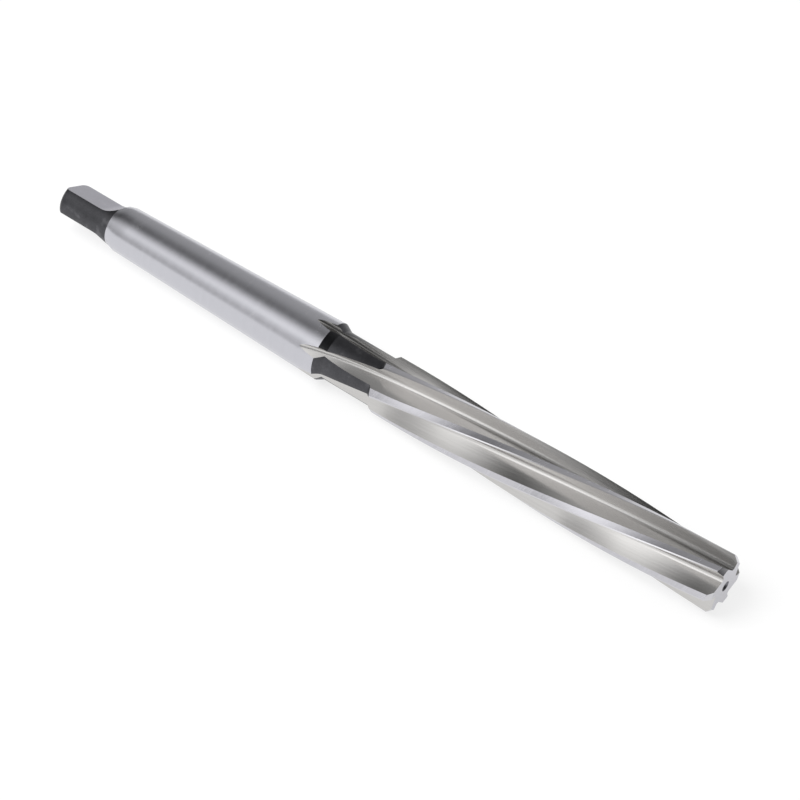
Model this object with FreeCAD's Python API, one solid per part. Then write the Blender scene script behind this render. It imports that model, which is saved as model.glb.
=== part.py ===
import FreeCAD, Part
import math
import os

# Long-fluted machine reamer with a Morse taper shank, ground from one bar of high speed steel.
# All sizes are in millimetres. The origin is on the axis in the gauge plane of the taper,
# +X runs along the tool towards its cutting end, and +Z is up with the tool lying down.
# Angles of roll are taken about +X, from +Y towards +Z.

# Morse taper No. 1
gauge_diameter = 12.065
taper_ratio = 20.047
gauge_to_tang_end = 62.0
gauge_to_shoulder = 3.5
shank_lead_start = 12.3
shank_lead_length = 1.9

# Tang: two milled flats that run out in an arc
tang_diameter = 8.7
tang_thickness = 5.1
tang_flat_length = 9.0
tang_runout_radius = 5.0
tang_edge_radius = 1.1
tang_roll = 62.8

# Neck between the shank's shoulder and the teeth
neck_diameter = 10.4
neck_length = 13.5
shoulder_cone_length = 1.6
tooth_start_cone_length = 0.9

# Cutting part
cutting_diameter = 12.0
cutting_length = 77.0
lead_chamfer = 1.1
tooth_count = 6
helix_angle = 8.74
tooth_roll = 114.7

# Section of one flute and one land
core_diameter = 6.8
root_fillet = 0.7
land_width = 1.39
margin_width = 0.25
relief_angle = 20.0

# The flutes rise out of the steel along an arc, and fade out on the shank
runout_radius = 110.0
runout_lean = 26.0
runout_on_shank = 3.7

# Centre holes: pilot drill and 60 degree mouth
tip_pilot_diameter = 1.0
tip_mouth_diameter = 2.15
tip_pilot_depth = 2.4
tang_pilot_diameter = 1.25
tang_mouth_diameter = 2.65
tang_pilot_depth = 3.0
centre_angle = 60.0

# How far the cutting tools reach past the steel, and how finely the flutes are laid out
tool_overrun = 2.5
station_step = 10.0

# Stations along the axis
tang_end_x = -gauge_to_tang_end
shoulder_x = gauge_to_shoulder
tooth_start_x = shoulder_x + neck_length
tip_x = tooth_start_x + cutting_length
runout_end_x = shoulder_x - runout_on_shank

# Radii
cutting_radius = cutting_diameter / 2
neck_radius = neck_diameter / 2
tang_radius = tang_diameter / 2
core_radius = core_diameter / 2
lead = math.pi * cutting_diameter / math.tan(math.radians(helix_angle))


def shank_radius(x):
    """Radius of the Morse taper at a station."""
    return (gauge_diameter + x / taper_ratio) / 2


shank_top_radius = shank_radius(shoulder_x)
tool_reach = max(cutting_radius, shank_top_radius) + tool_overrun


def polar(radius, angle):
    """Point of a cross-section, as (outward, ahead) from a tooth's own radial line."""
    return radius * math.cos(angle), radius * math.sin(angle)


def blank():
    """The turned bar: tang, taper, shoulder, neck and cutting cylinder."""
    lead_x = tang_end_x + shank_lead_start
    taper_x = lead_x + shank_lead_length
    bend = tang_edge_radius * (1 - math.sqrt(0.5))
    rim_start = FreeCAD.Vector(tang_end_x, 0, tang_radius - tang_edge_radius)
    rim_middle = FreeCAD.Vector(tang_end_x + bend, 0, tang_radius - bend)
    rim_end = FreeCAD.Vector(tang_end_x + tang_edge_radius, 0, tang_radius)
    outline = [
        (lead_x, tang_radius),
        (taper_x, shank_radius(taper_x)),
        (shoulder_x, shank_top_radius),
        (shoulder_x + shoulder_cone_length, neck_radius),
        (tooth_start_x - tooth_start_cone_length, neck_radius),
        (tooth_start_x, cutting_radius),
        (tip_x - lead_chamfer, cutting_radius),
        (tip_x, cutting_radius - lead_chamfer),
        (tip_x, 0),
        (tang_end_x, 0),
    ]
    corners = [rim_end] + [FreeCAD.Vector(x, 0, r) for x, r in outline] + [rim_start]
    edges = [Part.LineSegment(a, b).toShape() for a, b in zip(corners, corners[1:])]
    edges.append(Part.Arc(rim_start, rim_middle, rim_end).toShape())
    half_section = Part.Face(Part.Wire(Part.__sortEdges__(edges)))
    return half_section.revolve(FreeCAD.Vector(0, 0, 0), FreeCAD.Vector(1, 0, 0), 360)


def tang_cutter(side):
    """The steel milled away beyond one flat of the tang, side 1 or -1."""
    near = tang_thickness / 2
    far = near + tang_runout_radius
    arc_x = tang_end_x + tang_flat_length
    bend = tang_runout_radius * (1 - math.sqrt(0.5))
    start_x = tang_end_x - tool_overrun
    start = FreeCAD.Vector(start_x, -tool_reach, near)
    tangent = FreeCAD.Vector(arc_x, -tool_reach, near)
    middle = FreeCAD.Vector(arc_x + tang_runout_radius - bend, -tool_reach, near + bend)
    end = FreeCAD.Vector(arc_x + tang_runout_radius, -tool_reach, far)
    corner = FreeCAD.Vector(start_x, -tool_reach, far)
    edges = [
        Part.LineSegment(start, tangent).toShape(),
        Part.Arc(tangent, middle, end).toShape(),
        Part.LineSegment(end, corner).toShape(),
        Part.LineSegment(corner, start).toShape(),
    ]
    cutter = Part.Face(Part.Wire(edges)).extrude(FreeCAD.Vector(0, 2 * tool_reach, 0))
    roll = tang_roll - 90 if side > 0 else tang_roll + 90
    cutter.rotate(FreeCAD.Vector(0, 0, 0), FreeCAD.Vector(1, 0, 0), roll)
    return cutter


def land_corners():
    """Margin end, heel and direction of the relief behind a cutting edge, in one section."""
    margin_angle = margin_width / cutting_radius
    margin_end = polar(cutting_radius, -margin_angle)
    fall = math.radians(relief_angle) + margin_angle
    direction = (-math.sin(fall), -math.cos(fall))
    relief_width = land_width - margin_width
    heel = (
        margin_end[0] + relief_width * direction[0],
        margin_end[1] + relief_width * direction[1],
    )
    return margin_end, heel, direction


def root_centre():
    """Centre of the root fillet, which touches the radial rake face and the core circle."""
    outward = math.sqrt((core_radius + root_fillet) ** 2 - root_fillet ** 2)
    return outward, root_fillet


def flute_points():
    """Rake top, rake foot, root, back foot and back top of the flute ahead of a tooth."""
    centre_u, centre_v = root_centre()
    heel_u, heel_v = land_corners()[1]
    pitch = 2 * math.pi / tooth_count
    heel_radius = math.hypot(heel_u, heel_v)
    heel_u, heel_v = polar(heel_radius, math.atan2(heel_v, heel_u) + pitch)
    reach = math.hypot(centre_u - heel_u, centre_v - heel_v)
    turn = math.asin(root_fillet / reach)
    run = math.atan2(centre_v - heel_v, centre_u - heel_u) - turn
    length = reach * math.cos(turn)
    foot = (heel_u + length * math.cos(run), heel_v + length * math.sin(run))
    overrun = tool_reach - heel_radius + root_fillet
    back_top = (heel_u - overrun * math.cos(run), heel_v - overrun * math.sin(run))
    foot_angle = math.atan2(foot[1] - centre_v, foot[0] - centre_u) % (2 * math.pi)
    middle_angle = (1.5 * math.pi + foot_angle) / 2
    root = (
        centre_u + root_fillet * math.cos(middle_angle),
        centre_v + root_fillet * math.sin(middle_angle),
    )
    return (tool_reach, 0), (centre_u, 0), root, foot, back_top


def edge_roll(x):
    """Roll of the first tooth's cutting edge at a station: the teeth wind to the left."""
    return math.radians(tooth_roll) - 2 * math.pi * (x - tip_x) / lead


def placed(point, x, lift=0.0):
    """A section point at a station, lifted out of the steel along the run-out's lean."""
    lift_u, lift_v = polar(lift, math.radians(runout_lean))
    u = point[0] + lift_u
    v = point[1] + lift_v
    roll = edge_roll(x)
    y = u * math.cos(roll) - v * math.sin(roll)
    z = u * math.sin(roll) + v * math.cos(roll)
    return FreeCAD.Vector(x, y, z)


def stations(first, last):
    """Evenly spaced stations from first to last, about one step apart."""
    count = max(2, math.ceil((last - first) / station_step))
    return [first + (last - first) * i / count for i in range(count + 1)]


def clear_lift():
    """The lift that takes the flute's root just out of the shank."""
    lean = math.radians(runout_lean)
    centre_u, centre_v = root_centre()
    along = centre_u * math.cos(lean) + centre_v * math.sin(lean)
    across = centre_u * math.sin(lean) - centre_v * math.cos(lean)
    clear_radius = shank_radius(runout_end_x) + root_fillet
    return math.sqrt(clear_radius ** 2 - across ** 2) - along


def flute_lift(x):
    """How far the flute has risen at a station, along the arc of its run-out."""
    full_depth_x = runout_end_x + math.sqrt(2 * runout_radius * clear_lift())
    return max(0.0, full_depth_x - x) ** 2 / (2 * runout_radius)


def flute_wire(x):
    """Section of the flute cutter at a station."""
    lift = flute_lift(x)
    top, rake_foot, root, back_foot, back_top = [placed(p, x, lift) for p in flute_points()]
    edges = [
        Part.LineSegment(top, rake_foot).toShape(),
        Part.Arc(rake_foot, root, back_foot).toShape(),
        Part.LineSegment(back_foot, back_top).toShape(),
        Part.LineSegment(back_top, top).toShape(),
    ]
    return Part.Wire(edges)


def flute_cutter():
    """The helical groove ahead of one tooth, with its run-out onto the shank."""
    start = runout_end_x - tool_overrun / 2
    return Part.makeLoft([flute_wire(x) for x in stations(start, tip_x + tool_overrun)], True)


def relief_wire(x):
    """Section of the relief cutter at a station: the sliver behind one margin."""
    margin_end, heel, direction = land_corners()
    before = margin_width
    beyond = land_width
    start = (margin_end[0] - before * direction[0], margin_end[1] - before * direction[1])
    end = (heel[0] + beyond * direction[0], heel[1] + beyond * direction[1])
    outer_end = (end[0] + tool_overrun, end[1])
    outer_start = (start[0] + tool_overrun, start[1])
    corners = [placed(point, x) for point in (start, end, outer_end, outer_start, start)]
    return Part.makePolygon(corners)


def relief_cutter():
    """The ground relief behind one margin, over the whole cutting part."""
    start = tooth_start_x - tooth_start_cone_length
    return Part.makeLoft([relief_wire(x) for x in stations(start, tip_x + tool_overrun)], True)


def copies_round(shape):
    """The shape and its copies, one for each tooth."""
    copies = []
    for i in range(tooth_count):
        copy = shape.copy()
        copy.rotate(FreeCAD.Vector(0, 0, 0), FreeCAD.Vector(1, 0, 0), 360 * i / tooth_count)
        copies.append(copy)
    return copies


def centre_hole(face_x, inward, pilot_diameter, mouth_diameter, depth):
    """A centre hole that goes in from an end face, inward being 1 or -1 along X."""
    face = FreeCAD.Vector(face_x, 0, 0)
    axis = FreeCAD.Vector(inward, 0, 0)
    spread = math.tan(math.radians(centre_angle / 2))
    cone_depth = (mouth_diameter - pilot_diameter) / 2 / spread
    cone = Part.makeCone(mouth_diameter / 2, pilot_diameter / 2, cone_depth, face, axis)
    return cone.fuse(Part.makeCylinder(pilot_diameter / 2, cone_depth + depth, face, axis))


def reamer():
    """The finished tool as one solid."""
    cutters = copies_round(flute_cutter()) + copies_round(relief_cutter())
    cutters += [tang_cutter(1), tang_cutter(-1)]
    cutters.append(
        centre_hole(tip_x, -1, tip_pilot_diameter, tip_mouth_diameter, tip_pilot_depth)
    )
    cutters.append(
        centre_hole(tang_end_x, 1, tang_pilot_diameter, tang_mouth_diameter, tang_pilot_depth)
    )
    shape = blank()
    for cutter in cutters:
        shape = shape.cut(cutter)
    return shape.Solids[0]


os.makedirs("parts", exist_ok=True)
body = reamer()
body.exportStep("parts/reamer.step")
print("volume", round(body.Volume, 1), "valid", body.isValid(), "faces", len(body.Faces))
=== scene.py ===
import math

import bmesh
import bpy
from bpy.props import FloatProperty, FloatVectorProperty, IntProperty, PointerProperty
from bpy.types import Operator, Panel, PropertyGroup
from mathutils import Matrix, Vector


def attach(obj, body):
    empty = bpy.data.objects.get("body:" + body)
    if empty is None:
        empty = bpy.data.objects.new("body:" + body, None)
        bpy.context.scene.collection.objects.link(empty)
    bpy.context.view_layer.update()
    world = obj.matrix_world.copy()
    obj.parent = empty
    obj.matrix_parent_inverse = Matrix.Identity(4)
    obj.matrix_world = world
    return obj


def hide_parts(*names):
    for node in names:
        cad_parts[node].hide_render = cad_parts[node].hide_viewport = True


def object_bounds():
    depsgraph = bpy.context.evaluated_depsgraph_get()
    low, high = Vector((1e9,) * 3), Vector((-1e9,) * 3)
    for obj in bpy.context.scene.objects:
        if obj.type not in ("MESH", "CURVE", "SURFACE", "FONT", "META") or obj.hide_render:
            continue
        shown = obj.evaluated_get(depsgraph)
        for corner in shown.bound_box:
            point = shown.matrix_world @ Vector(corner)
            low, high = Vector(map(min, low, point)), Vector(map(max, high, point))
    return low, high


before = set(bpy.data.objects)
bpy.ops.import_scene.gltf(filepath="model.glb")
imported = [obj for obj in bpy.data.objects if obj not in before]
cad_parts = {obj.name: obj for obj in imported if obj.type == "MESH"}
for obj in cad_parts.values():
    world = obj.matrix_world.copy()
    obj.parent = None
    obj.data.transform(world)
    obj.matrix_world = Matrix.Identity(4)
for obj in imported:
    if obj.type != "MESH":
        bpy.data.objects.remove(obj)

bl_info = {
    "name": "Machine reamer",
    "version": (1, 0, 0),
    "blender": (4, 5, 0),
    "location": "View3D > Sidebar > Reamer",
    "description": "Builds a taper shank machine reamer and the studio it lies in",
    "category": "Add Mesh",
}

CAD_BOX = [list(corner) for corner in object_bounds()]
CAD_NODE = "reamer"
MM = 0.001

# Finishes, as the numbers that the mesh carries on its faces
SHANK, SCALE, TANG_FLAT, FLUTE, LAND, MARGIN, FACE, CENTRE = range(8)

# Segments of one tooth pitch: rake, root, back, relief and margin
RAKE, ROOT, BACK, RELIEF, ROUND = 6, 12, 10, 4, 12
ZONES = [(FLUTE, RAKE), (FLUTE, ROOT), (FLUTE, BACK), (LAND, RELIEF), (MARGIN, ROUND)]
# Where those zones end round the tip's centre hole, in degrees from the cutting edge
CENTRE_ANGLES = [-15.0, 0.0, 18.0, 38.0, 39.0, 45.0]
# Segments of half a tang section, across a flat and round a side
FLAT_SEGMENTS, SIDE_SEGMENTS = 12, 36
EDGE_RINGS, SHANK_RINGS = 8, 16
# Half the point angle of the drill that makes a centre hole's pilot
DRILL_POINT = math.radians(59)
# The land's grain starts this far from the flute's, in millimetres
LAND_OFFSET = 40.0
WELD_DISTANCE = 2e-7
SHARP_ANGLE = math.radians(14)
FLOOR_HALF = 1.5


# ---------------------------------------------------------------- sizes and colours


def size(name, description, value, **more):
    """A length property, given in millimetres and kept in metres."""
    return FloatProperty(
        name=name, description=description, default=value * MM, unit="LENGTH", precision=5, **more
    )


def turn(name, description, degrees):
    """An angle property, given in degrees and kept in radians."""
    return FloatProperty(
        name=name, description=description, default=math.radians(degrees), subtype="ANGLE"
    )


def colour(name, description, value):
    """A colour property."""
    return FloatVectorProperty(
        name=name, description=description, default=value, subtype="COLOR", min=0.0, max=1.0
    )


class ShankSizes(PropertyGroup):
    """The taper shank and its tang."""

    gauge_diameter: size("Gauge diameter", "Diameter of the taper at its gauge plane", 12.065)
    taper_ratio: FloatProperty(
        name="Taper ratio", description="Length over which the diameter grows by one", default=20.047
    )
    gauge_to_tang_end: size("Gauge to tang end", "From the gauge plane to the tang's end", 62.0)
    gauge_to_shoulder: size("Gauge to shoulder", "From the gauge plane to the shoulder", 3.5)
    lead_start: size("Lead start", "From the tang's end to the shank's lead cone", 12.3)
    lead_length: size("Lead length", "Length of the lead cone", 1.9)
    tang_diameter: size("Tang diameter", "Diameter that the tang is turned to", 8.7)
    tang_thickness: size("Tang thickness", "Distance between the two flats", 5.1)
    flat_length: size("Flat length", "Length of a flat up to its run-out", 9.0)
    flat_runout: size("Flat run-out", "Radius of a flat's run-out", 5.0)
    tang_edge: size("Tang edge", "Radius of the tang's end edge", 1.1)
    tang_roll: turn("Tang roll", "Direction in which the flats face", 62.8)


class CuttingSizes(PropertyGroup):
    """The neck, the flutes and the teeth."""

    neck_diameter: size("Neck diameter", "Diameter between shoulder and teeth", 10.4)
    neck_length: size("Neck length", "From the shoulder to the full diameter", 13.5)
    shoulder_cone: size("Shoulder cone", "Length of the cone down to the neck", 1.6)
    start_cone: size("Start cone", "Length of the cone up to the teeth", 0.9)
    diameter: size("Cutting diameter", "Diameter over the margins", 12.0)
    length: size("Cutting length", "Length of the cutting part", 77.0)
    chamfer: size("Lead chamfer", "Chamfer at the front of the teeth", 1.1)
    teeth: IntProperty(name="Teeth", description="Number of teeth", default=6, min=3, max=12)
    helix: turn("Helix", "Angle of the left-hand flutes", 8.74)
    tooth_roll: turn("Tooth roll", "Roll of the first cutting edge at the tip", 114.7)
    core_diameter: size("Core diameter", "Diameter that the flutes' roots touch", 6.8)
    root_fillet: size("Root fillet", "Radius of a flute's root", 0.7)
    land_width: size("Land width", "Width of a land, margin included", 1.39)
    margin_width: size("Margin width", "Width of the round margin", 0.25)
    relief: turn("Relief", "Angle of the relief behind a margin", 20.0)
    runout_radius: size("Run-out radius", "Radius on which a flute rises", 110.0)
    runout_lean: turn("Run-out lean", "Direction in which a flute rises", 26.0)
    runout_on_shank: size("Run-out on shank", "How far the flutes reach onto the shank", 3.7)
    tip_mouth: size("Tip centre mouth", "Mouth of the centre hole in the tip", 2.15)
    tip_pilot: size("Tip centre pilot", "Pilot of the centre hole in the tip", 1.0)
    tip_depth: size("Tip centre depth", "Length of the pilot in the tip", 2.4)
    tang_mouth: size("Tang centre mouth", "Mouth of the centre hole in the tang", 2.65)
    tang_pilot: size("Tang centre pilot", "Pilot of the centre hole in the tang", 1.25)
    tang_depth: size("Tang centre depth", "Length of the pilot in the tang", 3.0)
    centre_angle: turn("Centre angle", "Angle of the centre holes' mouths", 60.0)


class FinishColours(PropertyGroup):
    """Colours of the steel's finishes."""

    shank: colour("Ground shank", "Cylindrically ground taper", (0.56, 0.56, 0.60))
    scale: colour("Hardened skin", "Turned surfaces that kept their skin", (0.085, 0.085, 0.092))
    tang_flat: colour("Tang flat", "Milled flats of the tang", (0.40, 0.395, 0.44))
    flute: colour("Ground flute", "Flutes ground along their length", (0.575, 0.565, 0.555))
    land: colour("Ground land", "Relief ground across the lands", (0.56, 0.555, 0.59))
    margin: colour("Margin", "Round margins and lead", (0.60, 0.595, 0.62))
    face: colour("End face", "Faced end of the teeth", (0.55, 0.545, 0.58))
    centre: colour("Centre hole", "Bores of the centre holes", (0.20, 0.20, 0.22))


class StudioSizes(PropertyGroup):
    """Camera and light."""

    azimuth: turn("Azimuth", "Where the camera stands round the tool", 32.084)
    elevation: turn("Elevation", "Height of the camera above the horizon", 45.092)
    roll: turn("Roll", "How far the picture is turned in its plane", 6.848)
    distance: size("Distance", "From the camera to the point it looks at", 588.9)
    lens: FloatProperty(name="Lens", description="Focal length in millimetres", default=139.437)
    sensor: FloatProperty(name="Sensor", description="Sensor width in millimetres", default=36.0)
    key_size: size("Key size", "Side of the soft key lamp", 600.0)
    key_distance: size("Key distance", "From the tool to the key lamp", 900.0)
    key_power: FloatProperty(
        name="Key power", description="Power of the key lamp in watts", default=8.0, unit="POWER"
    )
    key_way: FloatVectorProperty(
        name="Key direction",
        description="Direction from the tool to the key lamp",
        default=(-0.35, -0.45, 0.82),
        subtype="DIRECTION",
    )
    target: FloatVectorProperty(
        name="Target",
        description="Point that the camera looks at",
        default=(20.244 * MM, 0.204 * MM, -2.075 * MM),
        subtype="TRANSLATION",
    )


# ---------------------------------------------------------------- the tool's sections


class Rule:
    """The sizes that the sections follow, and what comes of them."""

    def __init__(self, shank, cutting):
        self.shank = shank
        self.cut = cutting
        self.pitch = 2 * math.pi / cutting.teeth
        self.tang_end = -shank.gauge_to_tang_end
        self.lead_start = self.tang_end + shank.lead_start
        self.lead_end = self.lead_start + shank.lead_length
        self.shoulder = shank.gauge_to_shoulder
        self.tooth_start = self.shoulder + cutting.neck_length
        self.tip = self.tooth_start + cutting.length
        self.runout_end = self.shoulder - cutting.runout_on_shank
        self.lead = math.pi * cutting.diameter / math.tan(cutting.helix)
        self.profile = [
            (self.shoulder, self.taper(self.shoulder)),
            (self.shoulder + cutting.shoulder_cone, cutting.neck_diameter / 2),
            (self.tooth_start - cutting.start_cone, cutting.neck_diameter / 2),
            (self.tooth_start, cutting.diameter / 2),
            (self.tip - cutting.chamfer, cutting.diameter / 2),
            (self.tip, cutting.diameter / 2 - cutting.chamfer),
        ]
        self.find_land()
        self.find_root()
        self.full_depth = self.runout_end + math.sqrt(
            2 * cutting.runout_radius * self.clear_lift()
        )

    def taper(self, x):
        """Radius of the Morse taper."""
        return (self.shank.gauge_diameter + x / self.shank.taper_ratio) / 2

    def radius(self, x):
        """Radius of the turned blank, from the shank's run-outs to the tip."""
        if x <= self.shoulder:
            return self.taper(x)
        for (x0, r0), (x1, r1) in zip(self.profile, self.profile[1:]):
            if x <= x1:
                return r0 + (r1 - r0) * (x - x0) / (x1 - x0)
        return self.profile[-1][1]

    def find_land(self):
        """Margin end, relief direction and heel behind a cutting edge."""
        angle = self.cut.margin_width / (self.cut.diameter / 2)
        fall = self.cut.relief + angle
        self.margin_end = Vector((math.cos(angle), -math.sin(angle))) * self.cut.diameter / 2
        self.relief_way = Vector((-math.sin(fall), -math.cos(fall)))
        width = self.cut.land_width - self.cut.margin_width
        self.heel = self.margin_end + width * self.relief_way

    def find_root(self):
        """Centre of the root fillet, and the flute's straight back up to the next heel."""
        fillet = self.cut.root_fillet
        reach = self.cut.core_diameter / 2 + fillet
        self.root = Vector((math.sqrt(reach ** 2 - fillet ** 2), fillet))
        heel = turned(self.heel, self.pitch)
        away = self.root - heel
        bend = math.asin(fillet / away.length)
        run = math.atan2(away.y, away.x) - bend
        foot = heel + away.length * math.cos(bend) * Vector((math.cos(run), math.sin(run)))
        self.back_way = -Vector((math.cos(run), math.sin(run)))
        spoke = foot - self.root
        self.foot_angle = math.atan2(spoke.y, spoke.x) % (2 * math.pi)

    def clear_lift(self):
        """The lift that takes a root just out of the shank."""
        lean = self.cut.runout_lean
        along = self.root.x * math.cos(lean) + self.root.y * math.sin(lean)
        across = self.root.x * math.sin(lean) - self.root.y * math.cos(lean)
        clear = self.taper(self.runout_end) + self.cut.root_fillet
        return math.sqrt(clear ** 2 - across ** 2) - along

    def lift(self, x):
        """How far a flute has risen at a station."""
        rise = max(0.0, self.full_depth - x) ** 2 / (2 * self.cut.runout_radius)
        lean = self.cut.runout_lean
        return rise * Vector((math.cos(lean), math.sin(lean)))


def turned(point, angle):
    """A point of a section, turned about the axis."""
    c, s = math.cos(angle), math.sin(angle)
    return Vector((point.x * c - point.y * s, point.x * s + point.y * c))


def onto_circle(start, way, radius):
    """How far along a way from a point inside a circle the circle is met."""
    middle = -start.dot(way)
    return middle + math.sqrt(max(0.0, middle ** 2 - start.length_squared + radius ** 2))


def between(a, b, count):
    """Points after a up to b, evenly spaced."""
    return [a.lerp(b, (i + 1) / count) for i in range(count)]


def tooth_section(rule, x):
    """One pitch at a station, from a cutting edge over the flute to the next edge."""
    radius = rule.radius(x)
    lift = rule.lift(x)
    centre = rule.root + lift
    fillet = rule.cut.root_fillet
    reach = centre.length
    middle = math.atan2(centre.y, centre.x)
    spread = (radius ** 2 - reach ** 2 - fillet ** 2) / (2 * reach * fillet)
    if spread <= -1 + 1e-9:
        out = Vector((math.cos(middle), math.sin(middle))) * radius
        points = [out] * (1 + RAKE + ROOT + BACK + RELIEF)
        return points + arc_points(radius, middle, middle + rule.pitch, ROUND)
    clear = math.acos(min(1.0, spread))
    rake_foot = centre - Vector((0, fillet))
    root_start = 1.5 * math.pi
    if rake_foot.length < radius:
        edge = Vector((math.sqrt(radius ** 2 - lift.y ** 2), lift.y))
    else:
        root_start = min(root_start, middle + 2 * math.pi - clear)
        edge = centre + fillet * Vector((math.cos(root_start), math.sin(root_start)))
        rake_foot = edge
    back_foot = centre + fillet * Vector((math.cos(rule.foot_angle), math.sin(rule.foot_angle)))
    root_end = rule.foot_angle
    if back_foot.length > radius:
        root_end = max(root_end, middle + clear)
        back_foot = centre + fillet * Vector((math.cos(root_end), math.sin(root_end)))
        top, junction = back_foot, back_foot
    else:
        top, junction = back_top(rule, x, radius, back_foot)
    points = [edge] + between(edge, rake_foot, RAKE)
    for i in range(ROOT):
        angle = root_start + (root_end - root_start) * (i + 1) / ROOT
        points.append(centre + fillet * Vector((math.cos(angle), math.sin(angle))))
    points += between(back_foot, top, BACK)
    points += between(top, junction, RELIEF)
    first = math.atan2(junction.y, junction.x)
    last = math.atan2(edge.y, edge.x) + rule.pitch
    return points + arc_points(junction.length, first, last, ROUND)


def back_top(rule, x, radius, foot):
    """Where a flute's back ends, and where the land behind it meets the round margin."""
    far = onto_circle(foot, rule.back_way, radius)
    top = foot + far * rule.back_way
    if x < rule.tooth_start - rule.cut.start_cone:
        return top, top
    start = turned(rule.margin_end, rule.pitch)
    way = turned(rule.relief_way, rule.pitch)
    cross = rule.back_way.x * way.y - rule.back_way.y * way.x
    gap = start - foot
    near = (gap.x * way.y - gap.y * way.x) / cross
    if near >= far:
        return top, top
    middle = -start.dot(way)
    inside = max(0.0, middle ** 2 - start.length_squared + radius ** 2)
    junction = start + (middle - math.sqrt(inside)) * way
    return foot + near * rule.back_way, junction


def arc_points(radius, first, last, count):
    """Points after the first on an arc about the axis."""
    step = (last - first) / count
    angles = [first + step * (i + 1) for i in range(count)]
    return [radius * Vector((math.cos(a), math.sin(a))) for a in angles]


def spaced(first, last, count, ease=1.0):
    """Stations from first up to last, closer together near first when ease is over 1."""
    return [first + (last - first) * (i / count) ** ease for i in range(count)]


def tooth_stations(rule):
    """Stations along the flutes, closer where the shape changes fast."""
    cut = rule.cut
    start_cone = rule.tooth_start - cut.start_cone
    chamfer = rule.tip - cut.chamfer
    marks = [
        (rule.runout_end, rule.shoulder, 16, 1.8),
        (rule.shoulder, rule.shoulder + cut.shoulder_cone, 4, 1.0),
        (rule.shoulder + cut.shoulder_cone, start_cone, 16, 1.0),
        (start_cone, rule.tooth_start, 6, 1.0),
        (rule.tooth_start, rule.full_depth, 8, 1.0),
        (rule.full_depth, chamfer, 66, 1.0),
        (chamfer, rule.tip, 6, 1.0),
    ]
    stations = []
    for first, last, count, ease in marks:
        stations += spaced(first, last, count, ease)
    return stations + [rule.tip]


# ---------------------------------------------------------------- meshes


class Strip:
    """A grid of points that grows ring by ring, with a finish and a grain on each face."""

    def __init__(self):
        self.points, self.faces, self.finishes, self.grain = [], [], [], []
        self.width = 0

    def ring(self, x, section):
        """Adds one ring of section points at a station, and returns where it starts."""
        start = len(self.points)
        self.width = len(section)
        self.points += [(x, p.x, p.y) for p in section]
        return start

    def skin(self, first, second, finishes, across_first, across_second, x_first, x_second):
        """Faces between two rings."""
        for i in range(self.width - 1):
            self.faces.append((first + i, first + i + 1, second + i + 1, second + i))
            self.finishes.append(finishes[i])
            self.grain += [
                (x_first, across_first[i][0]),
                (x_first, across_first[i][1]),
                (x_second, across_second[i][1]),
                (x_second, across_second[i][0]),
            ]

    def object(self, name):
        """The strip as a mesh object that isn't in the scene."""
        mesh = bpy.data.meshes.new(name)
        mesh.from_pydata(self.points, [], self.faces)
        finish = mesh.attributes.new("finish", "INT", "FACE")
        finish.data.foreach_set("value", self.finishes)
        grain = mesh.uv_layers.new(name="grain")
        flat = [value for pair in self.grain for value in pair]
        grain.data.foreach_set("uv", flat)
        mesh.update()
        return bpy.data.objects.new(name, mesh)


def across_tooth(section):
    """For each segment of a tooth pitch, how far its ends lie across the surface, in millimetres."""
    run, reached = [], 0.0
    for a, b in zip(section, section[1:]):
        step = (b - a).length / MM
        run.append([reached, reached + step])
        reached += step
    foot = run[RAKE - 1][1]
    margin = run[RAKE + ROOT + BACK + RELIEF - 1][1]
    flute_count = RAKE + ROOT + BACK
    moved = []
    for i, pair in enumerate(run):
        base = foot if i < flute_count else margin
        offset = 0.0 if i < flute_count else LAND_OFFSET
        moved.append([value - base + offset for value in pair])
    return moved


def tooth_finishes(rule, x):
    """The finish of each segment of a tooth pitch between stations about x."""
    round_finish = MARGIN
    if x < rule.shoulder:
        round_finish = SHANK
    elif x < rule.tooth_start:
        round_finish = SCALE
    finishes = []
    for finish, count in ZONES:
        finishes += [round_finish if finish == MARGIN else finish] * count
    return finishes


def tooth_strip(rule):
    """One tooth pitch, laid straight along the axis, with its share of the end face and centre."""
    strip = Strip()
    last = None
    for x in tooth_stations(rule):
        section = tooth_section(rule, x)
        start = strip.ring(x, section)
        across = across_tooth(section)
        if last:
            finishes = tooth_finishes(rule, (x + last[0]) / 2)
            strip.skin(last[1], start, finishes, last[2], across, last[0] / MM, x / MM)
        last = (x, start, across)
    close_tip(rule, strip, section, last)
    return strip.object("tooth_pitch")


def close_tip(rule, strip, section, last):
    """The tooth pitch's share of the end face and of the centre hole."""
    angles = [math.radians(CENTRE_ANGLES[0])]
    for a, b, (_, count) in zip(CENTRE_ANGLES, CENTRE_ANGLES[1:], ZONES):
        angles += [math.radians(a + (b - a) * (i + 1) / count) for i in range(count)]
    cut = rule.cut
    slope = math.tan(cut.centre_angle / 2)
    mouth, pilot = cut.tip_mouth / 2, cut.tip_pilot / 2
    cone = (mouth - pilot) / slope
    rings = [
        (rule.tip, mouth, FACE),
        (rule.tip - cone, pilot, CENTRE),
        (rule.tip - cone - cut.tip_depth, pilot, CENTRE),
        (rule.tip - cone - cut.tip_depth - pilot / math.tan(DRILL_POINT), 0.0, CENTRE),
    ]
    first = last[1]
    before = section
    for x, radius, finish in rings:
        ring = [radius * Vector((math.cos(a), math.sin(a))) for a in angles]
        start = strip.ring(x, ring)
        lay = [[p.length / MM, q.length / MM] for p, q in zip(before, before[1:])]
        inner = [[p.length / MM, q.length / MM] for p, q in zip(ring, ring[1:])]
        strip.skin(first, start, [finish] * (len(ring) - 1), lay, inner, 0.0, 0.0)
        first, before = start, ring


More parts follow.
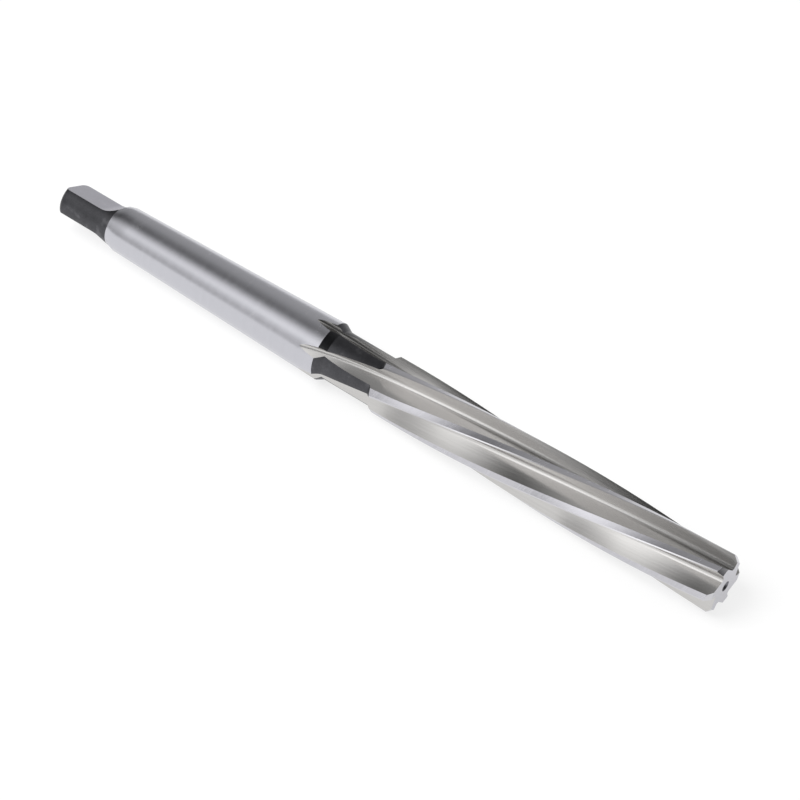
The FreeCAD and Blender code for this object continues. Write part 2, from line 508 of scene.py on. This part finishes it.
def tang_profile(rule):
    """Stations, radii and flat heights from the tang's end to the lead cone's end."""
    shank = rule.shank
    radius, edge = shank.tang_diameter / 2, shank.tang_edge
    rows = []
    for i in range(EDGE_RINGS + 1):
        angle = math.pi / 2 * i / EDGE_RINGS
        x = rule.tang_end + edge * (1 - math.cos(angle))
        rows.append((x, radius - edge * (1 - math.sin(angle))))
    flat_end = rule.tang_end + shank.flat_length
    rows += [(x, radius) for x in spaced(rows[-1][0], flat_end, 6)[1:]]
    rows += [(x, radius) for x in spaced(flat_end, rule.lead_start, 10)]
    slope = (rule.taper(rule.lead_end) - radius) / shank.lead_length
    runout = cone_runout(rule, slope)
    cone = spaced(rule.lead_start, runout, 6) + [runout]
    rows += [(x, radius + slope * (x - rule.lead_start)) for x in cone]
    rows.append((rule.lead_end, rule.taper(rule.lead_end)))
    return rows


def flat_height(rule, x):
    """Distance of a tang flat from the axis, with its run-out."""
    shank = rule.shank
    over = x - rule.tang_end - shank.flat_length
    if over <= 0:
        return shank.tang_thickness / 2
    if over >= shank.flat_runout:
        return shank.tang_thickness / 2 + shank.flat_runout
    drop = math.sqrt(shank.flat_runout ** 2 - over ** 2)
    return shank.tang_thickness / 2 + shank.flat_runout - drop


def cone_runout(rule, slope):
    """Station on the lead cone at which the flat's run-out leaves the steel."""
    low, high = rule.lead_start, rule.lead_end
    for _ in range(40):
        x = (low + high) / 2
        radius = rule.shank.tang_diameter / 2 + slope * (x - rule.lead_start)
        inside = flat_height(rule, x) < radius
        low, high = (x, high) if inside else (low, x)
    return low


def tang_section(rule, x, radius):
    """Half a section: one flat and one round side, seen along the flat's own direction."""
    height = flat_height(rule, x)
    half = math.acos(min(1.0, height / radius))
    start = radius * Vector((math.cos(-half), math.sin(-half)))
    end = radius * Vector((math.cos(half), math.sin(half)))
    points = [start] + between(start, end, FLAT_SEGMENTS)
    return points + arc_points(radius, half, math.pi - half, SIDE_SEGMENTS)


def shank_strip(rule):
    """Half of the shank, with one flat of the tang and half of its centre hole."""
    strip = Strip()
    close_tang(rule, strip)
    last = None
    for x, radius in tang_profile(rule):
        section = tang_section(rule, x, radius)
        start = strip.ring(x, section)
        side = SHANK if last and x > rule.lead_start else SCALE
        finishes = [TANG_FLAT] * FLAT_SEGMENTS + [side] * SIDE_SEGMENTS
        across = around_shank(section)
        if last:
            strip.skin(last[1], start, finishes, last[2], across, last[0] / MM, x / MM)
        last = (x, start, across)
    shank_rings(rule, strip, last)
    return strip.object("shank_half")


def around_shank(section):
    """For each segment of half a shank, how far its ends lie round it, in millimetres."""
    return [[p.y / MM, q.y / MM] for p, q in zip(section, section[1:])]


def shank_rings(rule, strip, last):
    """The taper up to the flutes' run-outs, its points drifting round to meet the teeth."""
    step = math.pi / SIDE_SEGMENTS
    target = math.atan2(*reversed(tooth_section(rule, rule.runout_end)[0]))
    target += rule.cut.tooth_roll - 2 * math.pi * (rule.runout_end - rule.tip) / rule.lead
    drift = (target - rule.shank.tang_roll + step / 2) % step - step / 2
    for i in range(SHANK_RINGS):
        share = (i + 1) / SHANK_RINGS
        x = rule.lead_end + (rule.runout_end - rule.lead_end) * share
        radius = rule.taper(x)
        turn_by = drift * share
        start_point = radius * Vector((math.cos(turn_by), math.sin(turn_by)))
        section = [start_point] * (FLAT_SEGMENTS + 1)
        section += arc_points(radius, turn_by, turn_by + math.pi, SIDE_SEGMENTS)
        start = strip.ring(x, section)
        finishes = [SHANK] * (len(section) - 1)
        across = around_shank(section)
        strip.skin(last[1], start, finishes, last[2], across, last[0] / MM, x / MM)
        last = (x, start, across)


def close_tang(rule, strip):
    """Half of the tang's end face and centre hole, from the bottom of the hole outwards."""
    cut = rule.cut
    mouth, pilot = cut.tang_mouth / 2, cut.tang_pilot / 2
    cone = (mouth - pilot) / math.tan(cut.centre_angle / 2)
    end_radius = rule.shank.tang_diameter / 2 - rule.shank.tang_edge
    outline = tang_section(rule, rule.tang_end, end_radius)
    angles = [math.atan2(p.y, p.x) for p in outline]
    angles = [a + 2 * math.pi if a < angles[0] - 1e-6 else a for a in angles]
    bottom = rule.tang_end + cone + cut.tang_depth
    rings = [
        (bottom + pilot / math.tan(DRILL_POINT), 0.0),
        (bottom, pilot),
        (rule.tang_end + cone, pilot),
        (rule.tang_end, mouth),
    ]
    last = None
    for x, radius in rings:
        ring = [radius * Vector((math.cos(a), math.sin(a))) for a in angles]
        start = strip.ring(x, ring)
        if last is not None:
            lay = around_shank(ring)
            strip.skin(last, start, [CENTRE] * len(lay), lay, lay, 0.0, 0.0)
        last = start
    start = strip.ring(rule.tang_end, outline)
    lay = around_shank(outline)
    strip.skin(last, start, [SCALE] * len(lay), lay, lay, 0.0, 0.0)


# ---------------------------------------------------------------- node helpers


def add(tree, kind, inputs=None, **settings):
    """A node with its settings and the values or links of its inputs."""
    node = tree.nodes.new(kind)
    for name, value in settings.items():
        setattr(node, name, value)
    for name, value in (inputs or {}).items():
        socket = node.inputs[name]
        if isinstance(value, bpy.types.NodeSocket):
            tree.links.new(value, socket)
        else:
            socket.default_value = value
    return node


def maths(tree, operation, *values):
    """The result of a Math node on values or links."""
    node = add(tree, "ShaderNodeMath", dict(enumerate(values)), operation=operation)
    return node.outputs[0]


# ---------------------------------------------------------------- geometry nodes


def copies_round_tree():
    """Node group: copies of a strip round the axis."""
    tree = bpy.data.node_groups.new("Copies round the axis", "GeometryNodeTree")
    face = tree.interface
    face.new_socket("Geometry", in_out="INPUT", socket_type="NodeSocketGeometry")
    face.new_socket("Count", in_out="INPUT", socket_type="NodeSocketInt")
    face.new_socket("Roll", in_out="INPUT", socket_type="NodeSocketFloat")
    face.new_socket("Geometry", in_out="OUTPUT", socket_type="NodeSocketGeometry")
    given = add(tree, "NodeGroupInput")
    points = add(
        tree, "GeometryNodeMeshLine", {"Count": given.outputs["Count"], "Offset": (0, 0, 0)}
    )
    index = add(tree, "GeometryNodeInputIndex")
    step = maths(tree, "DIVIDE", 2 * math.pi, given.outputs["Count"])
    angle = maths(tree, "MULTIPLY_ADD", index.outputs[0], step, given.outputs["Roll"])
    rotation = add(tree, "ShaderNodeCombineXYZ", {"X": angle})
    around = add(
        tree,
        "GeometryNodeInstanceOnPoints",
        {
            "Points": points.outputs["Mesh"],
            "Instance": given.outputs["Geometry"],
            "Rotation": rotation.outputs[0],
        },
    )
    real = add(tree, "GeometryNodeRealizeInstances", {"Geometry": around.outputs[0]})
    out = add(tree, "NodeGroupOutput")
    tree.links.new(real.outputs[0], out.inputs["Geometry"])
    return tree


def reamer_tree(finishes):
    """Node tree: winds the tooth pitch, sets teeth and shank round the axis and welds them."""
    tree = bpy.data.node_groups.new("Machine reamer", "GeometryNodeTree")
    face = tree.interface
    face.new_socket("Tooth pitch", in_out="INPUT", socket_type="NodeSocketGeometry")
    face.new_socket("Shank half", in_out="INPUT", socket_type="NodeSocketObject")
    face.new_socket("Teeth", in_out="INPUT", socket_type="NodeSocketInt")
    for name in ("Lead", "Tip station", "Tooth roll", "Tang roll", "Weld distance", "Sharp angle"):
        face.new_socket(name, in_out="INPUT", socket_type="NodeSocketFloat")
    for material in finishes:
        face.new_socket(material.name, in_out="INPUT", socket_type="NodeSocketMaterial")
    face.new_socket("Geometry", in_out="OUTPUT", socket_type="NodeSocketGeometry")
    given = add(tree, "NodeGroupInput").outputs

    position = add(tree, "GeometryNodeInputPosition").outputs[0]
    station = add(tree, "ShaderNodeSeparateXYZ", {"Vector": position}).outputs["X"]
    behind = maths(tree, "SUBTRACT", given["Tip station"], station)
    turns = maths(tree, "DIVIDE", behind, given["Lead"])
    winding = maths(tree, "MULTIPLY", turns, 2 * math.pi)
    wound = add(
        tree,
        "ShaderNodeVectorRotate",
        {"Vector": position, "Angle": winding},
        rotation_type="X_AXIS",
    )
    helix = add(
        tree,
        "GeometryNodeSetPosition",
        {"Geometry": given["Tooth pitch"], "Position": wound.outputs[0]},
    )
    copies = copies_round_tree()
    teeth = add(tree, "GeometryNodeGroup", node_tree=copies)
    tree.links.new(helix.outputs[0], teeth.inputs["Geometry"])
    tree.links.new(given["Teeth"], teeth.inputs["Count"])
    tree.links.new(given["Tooth roll"], teeth.inputs["Roll"])
    half = add(tree, "GeometryNodeObjectInfo", {"Object": given["Shank half"]})
    shank = add(tree, "GeometryNodeGroup", {"Count": 2}, node_tree=copies)
    tree.links.new(half.outputs["Geometry"], shank.inputs["Geometry"])
    tree.links.new(given["Tang roll"], shank.inputs["Roll"])

    joined = add(tree, "GeometryNodeJoinGeometry")
    tree.links.new(teeth.outputs[0], joined.inputs[0])
    tree.links.new(shank.outputs[0], joined.inputs[0])
    welded = add(
        tree,
        "GeometryNodeMergeByDistance",
        {"Geometry": joined.outputs[0], "Distance": given["Weld distance"]},
    )
    smooth = add(
        tree, "GeometryNodeSetShadeSmooth", {"Geometry": welded.outputs[0]}, domain="FACE"
    )
    bend = add(tree, "GeometryNodeInputMeshEdgeAngle").outputs["Unsigned Angle"]
    sharp = add(
        tree,
        "FunctionNodeCompare",
        {"A": bend, "B": given["Sharp angle"]},
        data_type="FLOAT",
        operation="GREATER_THAN",
    )
    creased = add(
        tree,
        "GeometryNodeSetShadeSmooth",
        {
            "Geometry": smooth.outputs[0],
            "Selection": sharp.outputs[0],
            "Shade Smooth": False,
        },
        domain="EDGE",
    )
    real = add(tree, "GeometryNodeRealizeInstances", {"Geometry": creased.outputs[0]})
    flow = real.outputs[0]
    number = add(tree, "GeometryNodeInputNamedAttribute", {"Name": "finish"}, data_type="INT")
    for i, material in enumerate(finishes):
        chosen = add(tree, "FunctionNodeCompare", data_type="INT", operation="EQUAL")
        tree.links.new(number.outputs["Attribute"], enabled(chosen.inputs, "A"))
        enabled(chosen.inputs, "B").default_value = i
        painted = add(
            tree,
            "GeometryNodeSetMaterial",
            {"Geometry": flow, "Selection": chosen.outputs[0], "Material": given[material.name]},
        )
        flow = painted.outputs[0]
    out = add(tree, "NodeGroupOutput")
    tree.links.new(flow, out.inputs["Geometry"])
    return tree


def enabled(sockets, name):
    """The socket of that name that is in use."""
    return next(s for s in sockets if s.name == name and s.enabled)


def run_tree(obj, tree, values):
    """Puts the tree on the object with these inputs, and returns the plain mesh that comes of it."""
    modifier = obj.modifiers.new(tree.name, "NODES")
    modifier.node_group = tree
    sockets = [s for s in tree.interface.items_tree if s.in_out == "INPUT"]
    names = {s.name: s.identifier for s in sockets}
    for name, value in values.items():
        modifier[names[name]] = value
    graph = bpy.context.evaluated_depsgraph_get()
    graph.update()
    mesh = bpy.data.meshes.new_from_object(obj.evaluated_get(graph))
    obj.modifiers.remove(modifier)
    return mesh


# ---------------------------------------------------------------- shader groups


def grain_group():
    """Shader group: fine lines that a wheel or a tool leaves, and a slow drift of tone."""
    tree = bpy.data.node_groups.new("Grinding grain", "ShaderNodeTree")
    face = tree.interface
    face.new_socket("Vector", in_out="INPUT", socket_type="NodeSocketVector")
    for name, value in (
        ("Lines per unit", 20.0),
        ("Breaks per unit", 0.4),
        ("Line depth", 0.5),
        ("Drift", 0.5),
        ("Roughness", 0.25),
        ("Roughness spread", 0.08),
    ):
        socket = face.new_socket(name, in_out="INPUT", socket_type="NodeSocketFloat")
        socket.default_value = value
    face.new_socket("Colour", in_out="INPUT", socket_type="NodeSocketColor")
    face.new_socket("Colour", in_out="OUTPUT", socket_type="NodeSocketColor")
    face.new_socket("Roughness", in_out="OUTPUT", socket_type="NodeSocketFloat")
    face.new_socket("Height", in_out="OUTPUT", socket_type="NodeSocketFloat")
    given = add(tree, "NodeGroupInput").outputs
    parts = add(tree, "ShaderNodeSeparateXYZ", {"Vector": given["Vector"]}).outputs
    along = maths(tree, "MULTIPLY", parts["X"], given["Breaks per unit"])
    across = maths(tree, "MULTIPLY", parts["Y"], given["Lines per unit"])
    cell = add(tree, "ShaderNodeCombineXYZ", {"X": along, "Y": across, "Z": parts["Z"]}).outputs[0]
    lines = add(
        tree, "ShaderNodeTexNoise", {"Vector": cell, "Scale": 1.0, "Detail": 3.0, "Roughness": 0.6}
    ).outputs["Fac"]
    broad = add(
        tree,
        "ShaderNodeTexNoise",
        {"Vector": cell, "Scale": 0.13, "Detail": 2.0, "Roughness": 0.5},
    ).outputs["Fac"]
    line = maths(tree, "SUBTRACT", lines, 0.5)
    tone = maths(tree, "SUBTRACT", broad, 0.5)
    line_part = maths(tree, "MULTIPLY", line, given["Line depth"])
    tone_part = maths(tree, "MULTIPLY", tone, given["Drift"])
    factor = maths(tree, "ADD", maths(tree, "ADD", line_part, tone_part), 1.0)
    tinted = add(
        tree, "ShaderNodeVectorMath", {0: given["Colour"], 1: factor}, operation="MULTIPLY"
    ).outputs[0]
    change = maths(tree, "MULTIPLY", maths(tree, "ADD", line, tone), given["Roughness spread"])
    rough = maths(tree, "ADD", given["Roughness"], change)
    out = add(tree, "NodeGroupOutput")
    tree.links.new(tinted, out.inputs["Colour"])
    tree.links.new(rough, out.inputs["Roughness"])
    tree.links.new(lines, out.inputs["Height"])
    return tree


def skin_group():
    """Shader group: the mottled dark skin of hardening, with paler rubbed spots."""
    tree = bpy.data.node_groups.new("Hardened skin", "ShaderNodeTree")
    face = tree.interface
    face.new_socket("Vector", in_out="INPUT", socket_type="NodeSocketVector")
    for name, value in (("Mottle", 0.5), ("Rubbed", 0.2), ("Roughness", 0.42)):
        socket = face.new_socket(name, in_out="INPUT", socket_type="NodeSocketFloat")
        socket.default_value = value
    face.new_socket("Colour", in_out="INPUT", socket_type="NodeSocketColor")
    face.new_socket("Rubbed colour", in_out="INPUT", socket_type="NodeSocketColor")
    face.new_socket("Colour", in_out="OUTPUT", socket_type="NodeSocketColor")
    face.new_socket("Roughness", in_out="OUTPUT", socket_type="NodeSocketFloat")
    face.new_socket("Height", in_out="OUTPUT", socket_type="NodeSocketFloat")
    given = add(tree, "NodeGroupInput").outputs
    fine = add(
        tree,
        "ShaderNodeTexNoise",
        {"Vector": given["Vector"], "Scale": 2600.0, "Detail": 4.0, "Roughness": 0.65},
    ).outputs["Fac"]
    broad = add(
        tree,
        "ShaderNodeTexNoise",
        {"Vector": given["Vector"], "Scale": 420.0, "Detail": 3.0, "Roughness": 0.55},
    ).outputs["Fac"]
    fine_part = maths(tree, "SUBTRACT", fine, 0.5)
    broad_part = maths(tree, "SUBTRACT", broad, 0.5)
    both = maths(tree, "ADD", fine_part, broad_part)
    factor = maths(tree, "MULTIPLY_ADD", both, given["Mottle"], 1.0)
    toned = add(
        tree, "ShaderNodeVectorMath", {0: given["Colour"], 1: factor}, operation="MULTIPLY"
    ).outputs[0]
    spot = add(
        tree,
        "ShaderNodeMapRange",
        {"Value": broad, "From Min": 0.56, "From Max": 0.72, "To Min": 0.0, "To Max": 1.0},
        interpolation_type="SMOOTHSTEP",
    ).outputs[0]
    amount = maths(tree, "MULTIPLY", spot, given["Rubbed"])
    mixed = add(tree, "ShaderNodeMix", data_type="RGBA")
    tree.links.new(amount, enabled(mixed.inputs, "Factor"))
    tree.links.new(toned, enabled(mixed.inputs, "A"))
    tree.links.new(given["Rubbed colour"], enabled(mixed.inputs, "B"))
    rough = maths(tree, "MULTIPLY_ADD", both, 0.12, given["Roughness"])
    out = add(tree, "NodeGroupOutput")
    tree.links.new(enabled(mixed.outputs, "Result"), out.inputs["Colour"])
    tree.links.new(rough, out.inputs["Roughness"])
    tree.links.new(fine, out.inputs["Height"])
    return tree


# ---------------------------------------------------------------- materials


def steel(name, surface, lie, bump, values):
    """A steel material whose colour, roughness and relief come from a surface group."""
    material = bpy.data.materials.new(name)
    material.use_nodes = True
    tree = material.node_tree
    shader = tree.nodes["Principled BSDF"]
    shader.inputs["Metallic"].default_value = 1.0
    group = add(tree, "ShaderNodeGroup", {"Vector": lie(tree), **values}, node_tree=surface)
    strength, distance = bump
    relief = add(
        tree,
        "ShaderNodeBump",
        {"Strength": strength, "Distance": distance, "Height": group.outputs["Height"]},
    )
    tree.links.new(relief.outputs[0], shader.inputs["Normal"])
    tree.links.new(group.outputs["Colour"], shader.inputs["Base Color"])
    tree.links.new(group.outputs["Roughness"], shader.inputs["Roughness"])
    return material


def strip_lie(tree):
    """The coordinate that runs along and across the teeth, in millimetres."""
    return add(tree, "ShaderNodeUVMap", uv_map="grain").outputs["UV"]


def strip_lie_across(tree):
    """The same coordinate with its two directions exchanged, for marks that run across."""
    parts = add(tree, "ShaderNodeSeparateXYZ", {"Vector": strip_lie(tree)}).outputs
    slant = maths(tree, "MULTIPLY_ADD", parts["Y"], 0.35, parts["X"])
    return add(tree, "ShaderNodeCombineXYZ", {"X": parts["Y"], "Y": slant}).outputs[0]


def round_lie(tree):
    """Rings round the axis, in millimetres: the station lies across the grain."""
    where = add(tree, "ShaderNodeTexCoord").outputs["Object"]
    parts = add(tree, "ShaderNodeSeparateXYZ", {"Vector": where}).outputs
    station = maths(tree, "MULTIPLY", parts["X"], 1 / MM)
    side = maths(tree, "MULTIPLY", parts["Y"], 1 / MM)
    height = maths(tree, "MULTIPLY", parts["Z"], 1 / MM)
    return add(tree, "ShaderNodeCombineXYZ", {"X": side, "Y": station, "Z": height}).outputs[0]


def place_lie(tree):
    """The place on the tool itself, in metres."""
    return add(tree, "ShaderNodeTexCoord").outputs["Object"]


# Ground finishes: the lie of the grain, lines and breaks per millimetre, how deep the lines and
# the drift of tone go, roughness and its spread, and the strength of the relief
GRAIN = {
    "shank": (round_lie, 9.0, 1.6, 0.10, 0.08, 0.24, 0.10, 0.08),
    "flute": (strip_lie, 14.0, 0.16, 0.22, 0.22, 0.20, 0.12, 0.12),
    "land": (strip_lie_across, 5.0, 0.5, 0.28, 0.2, 0.24, 0.14, 0.2),
    "margin": (strip_lie, 16.0, 0.3, 0.12, 0.1, 0.20, 0.08, 0.05),
    "face": (round_lie, 1.2, 5.0, 0.18, 0.15, 0.32, 0.12, 0.1),
    "centre": (round_lie, 8.0, 0.8, 0.2, 0.2, 0.4, 0.1, 0.1),
}
# Skinned finishes: colour where rubbed, mottle, how much is rubbed, and roughness
SKIN = {
    "scale": ((0.22, 0.22, 0.235), 0.6, 0.35, 0.40),
    "tang_flat": ((0.5, 0.49, 0.53), 0.35, 0.3, 0.36),
}
GRAIN_RELIEF, SKIN_RELIEF = 2e-6, (0.25, 4e-6)
# The materials' names, in the order of the finish numbers, and the finish that each has
MATERIALS = {
    "ground_shank": "shank",
    "hardened_skin": "scale",
    "tang_flat": "tang_flat",
    "ground_flute": "flute",
    "ground_land": "land",
    "margin": "margin",
    "end_face": "face",
    "centre_hole": "centre",
}


def steel_finishes(colours):
    """The materials of the tool, in the order of the finish numbers."""
    grain, skin = grain_group(), skin_group()
    made = []
    for name, finish in MATERIALS.items():
        tint = (*getattr(colours, finish), 1.0)
        if finish in GRAIN:
            lie, lines, breaks, depth, drift, rough, spread, strength = GRAIN[finish]
            values = {
                "Lines per unit": lines,
                "Breaks per unit": breaks,
                "Line depth": depth,
                "Drift": drift,
                "Roughness": rough,
                "Roughness spread": spread,
                "Colour": tint,
            }
            made.append(steel(name, grain, lie, (strength, GRAIN_RELIEF), values))
        else:
            rubbed_tint, mottle, rubbed, rough = SKIN[finish]
            values = {
                "Mottle": mottle,
                "Rubbed": rubbed,
                "Roughness": rough,
                "Colour": tint,
                "Rubbed colour": (*rubbed_tint, 1.0),
            }
            made.append(steel(name, skin, place_lie, SKIN_RELIEF, values))
    return made


# ---------------------------------------------------------------- stage


# Brightness of the surround above the floor, by direction about the tool's axis in degrees from
# +Y over +Z, on four places from the shank's side (-X) to the tip's side (+X)
STRIPS = [
    (-0.60, [(0, 0.45), (41, 0.35), (71, 0.10), (86, 0.09), (101, 0.30), (116, 0.60),
             (131, 0.80), (146, 0.70), (180, 0.43)]),
    (-0.40, [(0, 0.67), (20, 0.50), (50, 0.50), (70, 0.38), (90, 0.18), (102, 0.35),
             (114, 0.85), (126, 1.30), (140, 1.40), (150, 0.95), (168, 0.60), (180, 0.90)]),
    (-0.25, [(0, 0.55), (56, 0.41), (86, 0.65), (101, 1.20), (116, 1.80), (131, 2.10),
             (150, 2.10), (180, 1.40)]),
    (-0.12, [(0, 0.55), (26, 0.43), (56, 0.20), (75, 0.06), (101, 0.03), (131, 0.15),
             (146, 0.27), (161, 0.42), (180, 0.75)]),
]


def studio_world():
    """White behind the tool, and soft strips of light along it that the steel mirrors."""
    world = bpy.data.worlds.new("studio")
    bpy.context.scene.world = world
    world.use_nodes = True
    tree = world.node_tree
    tree.nodes.clear()
    way = add(tree, "ShaderNodeTexCoord").outputs["Generated"]
    parts = add(tree, "ShaderNodeSeparateXYZ", {"Vector": way}).outputs
    angle = maths(tree, "ARCTAN2", parts["Z"], parts["Y"])
    share = add(
        tree,
        "ShaderNodeMapRange",
        {"Value": angle, "From Min": -math.pi, "From Max": math.pi},
    ).outputs[0]
    reached, strips = STRIPS[0]
    light = strip_ramp(tree, share, strips)
    for station, strips in STRIPS[1:]:
        ramp = strip_ramp(tree, share, strips)
        side = add(
            tree,
            "ShaderNodeMapRange",
            {"Value": parts["X"], "From Min": reached, "From Max": station},
        ).outputs[0]
        mixed = add(tree, "ShaderNodeMix", data_type="RGBA")
        tree.links.new(side, enabled(mixed.inputs, "Factor"))
        tree.links.new(light, enabled(mixed.inputs, "A"))
        tree.links.new(ramp, enabled(mixed.inputs, "B"))
        light, reached = enabled(mixed.outputs, "Result"), station
    surround = add(tree, "ShaderNodeBackground", {"Strength": 1.0})
    tree.links.new(light, surround.inputs["Color"])
    plain = add(tree, "ShaderNodeBackground", {"Color": (1, 1, 1, 1), "Strength": 0.6})
    white = add(tree, "ShaderNodeBackground", {"Color": (1, 1, 1, 1), "Strength": 1.0})
    path = add(tree, "ShaderNodeLightPath").outputs
    glossy = path["Is Glossy Ray"]
    lit = add(tree, "ShaderNodeMixShader", {0: glossy, 1: plain.outputs[0], 2: surround.outputs[0]})
    seen = maths(tree, "MAXIMUM", path["Is Camera Ray"], path["Is Transmission Ray"])
    shown = add(tree, "ShaderNodeMixShader", {0: seen, 1: lit.outputs[0], 2: white.outputs[0]})
    out = add(tree, "ShaderNodeOutputWorld")
    tree.links.new(shown.outputs[0], out.inputs["Surface"])


def strip_ramp(tree, share, strips):
    """A colour ramp round the tool's axis."""
    ramp = add(tree, "ShaderNodeValToRGB", {"Fac": share})
    elements = ramp.color_ramp.elements
    while len(elements) > 1:
        elements.remove(elements[-1])
    for i, (degrees, level) in enumerate(strips):
        place = (degrees + 180) / 360
        element = elements[0] if i == 0 else elements.new(place)
        element.position = place
        element.color = (level, level, level, 1.0)
    return ramp.outputs["Color"]


def floor_material():
    """Plain pale floor: white to the camera, with a faint shadow."""
    material = bpy.data.materials.new("floor")
    material.use_nodes = True
    tree = material.node_tree
    shader = tree.nodes["Principled BSDF"]
    shader.inputs["Base Color"].default_value = (0.9, 0.9, 0.9, 1.0)
    shader.inputs["Roughness"].default_value = 0.9
    white = add(tree, "ShaderNodeEmission", {"Color": (1, 1, 1, 1), "Strength": 1.0})
    path = add(tree, "ShaderNodeLightPath").outputs
    bare = maths(tree, "ADD", path["Is Camera Ray"], path["Is Glossy Ray"])
    bare = maths(tree, "ADD", bare, path["Is Transmission Ray"])
    share = maths(tree, "MULTIPLY", bare, 0.75)
    mixed = add(tree, "ShaderNodeMixShader", {0: share, 1: shader.outputs[0], 2: white.outputs[0]})
    tree.links.new(mixed.outputs[0], tree.nodes["Material Output"].inputs["Surface"])
    return material


def place_camera(studio):
    """The camera, looking down on the tool."""
    target = Vector(studio.target)
    if not CAD_BOX[0][0] < target.x < CAD_BOX[1][0]:
        raise RuntimeError("the camera doesn't look at the tool")
    a, e = studio.azimuth, studio.elevation
    back = Vector((math.sin(a) * math.cos(e), -math.cos(a) * math.cos(e), math.sin(e)))
    right = Vector((math.cos(a), math.sin(a), 0.0))
    up = back.cross(right)
    basis = Matrix((right, up, back)).transposed()
    turned_basis = basis @ Matrix.Rotation(studio.roll, 3, "Z")
    data = bpy.data.cameras.new("camera")
    data.lens = studio.lens
    data.sensor_width = studio.sensor
    data.clip_start = 0.01
    data.clip_end = 50.0
    camera = bpy.data.objects.new("camera", data)
    place = Matrix.Translation(target + studio.distance * back)
    camera.matrix_world = place @ turned_basis.to_4x4()
    bpy.context.collection.objects.link(camera)
    bpy.context.scene.camera = camera


def place_key(studio):
    """One large soft lamp above the front of the tool."""
    way = Vector(studio.key_way).normalized()
    data = bpy.data.lights.new("key", "AREA")
    data.shape = "SQUARE"
    data.size = studio.key_size
    data.energy = studio.key_power
    lamp = bpy.data.objects.new("key", data)
    lamp.location = way * studio.key_distance
    lamp.rotation_euler = way.to_track_quat("Z", "Y").to_euler()
    lamp.visible_glossy = False
    bpy.context.collection.objects.link(lamp)


def place_floor():
    """A wide floor under the tool."""
    half, low = FLOOR_HALF, CAD_BOX[0][2]
    mesh = bpy.data.meshes.new("floor")
    corners = [(-half, -half, low), (half, -half, low), (half, half, low), (-half, half, low)]
    mesh.from_pydata(corners, [], [(0, 1, 2, 3)])
    mesh.materials.append(floor_material())
    floor = bpy.data.objects.new("floor", mesh)
    bpy.context.collection.objects.link(floor)


# ---------------------------------------------------------------- operators


def closed_and_outward(mesh):
    """Welds what is left, turns the faces outwards, and raises an error if the skin is open."""
    work = bmesh.new()
    work.from_mesh(mesh)
    bmesh.ops.remove_doubles(work, verts=work.verts, dist=WELD_DISTANCE / 2)
    bmesh.ops.dissolve_degenerate(work, edges=work.edges, dist=1e-8)
    bmesh.ops.recalc_face_normals(work, faces=work.faces)
    open_edges = [e for e in work.edges if not e.is_manifold]
    if open_edges:
        places = sorted(e.verts[0].co.x for e in open_edges)
        raise RuntimeError(f"{len(open_edges)} open edges between {places[0]} and {places[-1]}")
    if work.calc_volume(signed=True) < 0:
        bmesh.ops.reverse_faces(work, faces=work.faces)
    work.to_mesh(mesh)
    work.free()


class REAMER_OT_body(Operator):
    """Builds the reamer as one closed piece in place of its plain solid"""

    bl_idname = "reamer.body"
    bl_label = "Machine reamer"

    def execute(self, context):
        scene = context.scene
        rule = Rule(scene.reamer_shank, scene.reamer_cutting)
        finishes = steel_finishes(scene.reamer_colours)
        pitch = tooth_strip(rule)
        half = shank_strip(rule)
        for obj in (pitch, half):
            context.collection.objects.link(obj)
        values = {
            "Shank half": half,
            "Teeth": scene.reamer_cutting.teeth,
            "Lead": rule.lead,
            "Tip station": rule.tip,
            "Tooth roll": scene.reamer_cutting.tooth_roll,
            "Tang roll": scene.reamer_shank.tang_roll,
            "Weld distance": WELD_DISTANCE,
            "Sharp angle": SHARP_ANGLE,
        }
        values.update({material.name: material for material in finishes})
        mesh = run_tree(pitch, reamer_tree(finishes), values)
        mesh.name = "reamer_body"
        for obj in (pitch, half):
            bpy.data.objects.remove(obj)
        closed_and_outward(mesh)
        body = bpy.data.objects.new("reamer_body", mesh)
        context.collection.objects.link(body)
        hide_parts(CAD_NODE)
        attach(body, "root")
        return {"FINISHED"}


class REAMER_OT_stage(Operator):
    """Sets the floor, the soft light and the camera"""

    bl_idname = "reamer.stage"
    bl_label = "Stage"

    def execute(self, context):
        studio = context.scene.reamer_studio
        place_floor()
        studio_world()
        place_key(studio)
        place_camera(studio)
        context.scene.view_settings.view_transform = "Standard"
        return {"FINISHED"}


class REAMER_PT_tools(Panel):
    """Lists the pieces and their sizes"""

    bl_idname = "REAMER_PT_tools"
    bl_label = "Reamer"
    bl_space_type = "VIEW_3D"
    bl_region_type = "UI"
    bl_category = "Reamer"

    def draw(self, context):
        scene = context.scene
        for operator in (REAMER_OT_body, REAMER_OT_stage):
            self.layout.operator(operator.bl_idname)
        for group in (
            scene.reamer_shank,
            scene.reamer_cutting,
            scene.reamer_colours,
            scene.reamer_studio,
        ):
            box = self.layout.box()
            for name in group.__annotations__:
                box.prop(group, name)


GROUPS = {
    "reamer_shank": ShankSizes,
    "reamer_cutting": CuttingSizes,
    "reamer_colours": FinishColours,
    "reamer_studio": StudioSizes,
}
CLASSES = (*GROUPS.values(), REAMER_OT_body, REAMER_OT_stage, REAMER_PT_tools)


def register():
    """Registers the classes and hangs their sizes on the scene."""
    for cls in CLASSES:
        bpy.utils.register_class(cls)
    for name, cls in GROUPS.items():
        setattr(bpy.types.Scene, name, PointerProperty(type=cls))


def unregister():
    """Takes the classes and their sizes away again."""
    for name in GROUPS:
        delattr(bpy.types.Scene, name)
    for cls in reversed(CLASSES):
        bpy.utils.unregister_class(cls)


def main():
    """Builds everything."""
    register()
    bpy.ops.reamer.body()
    bpy.ops.reamer.stage()


if __name__ == "__main__":
    main()
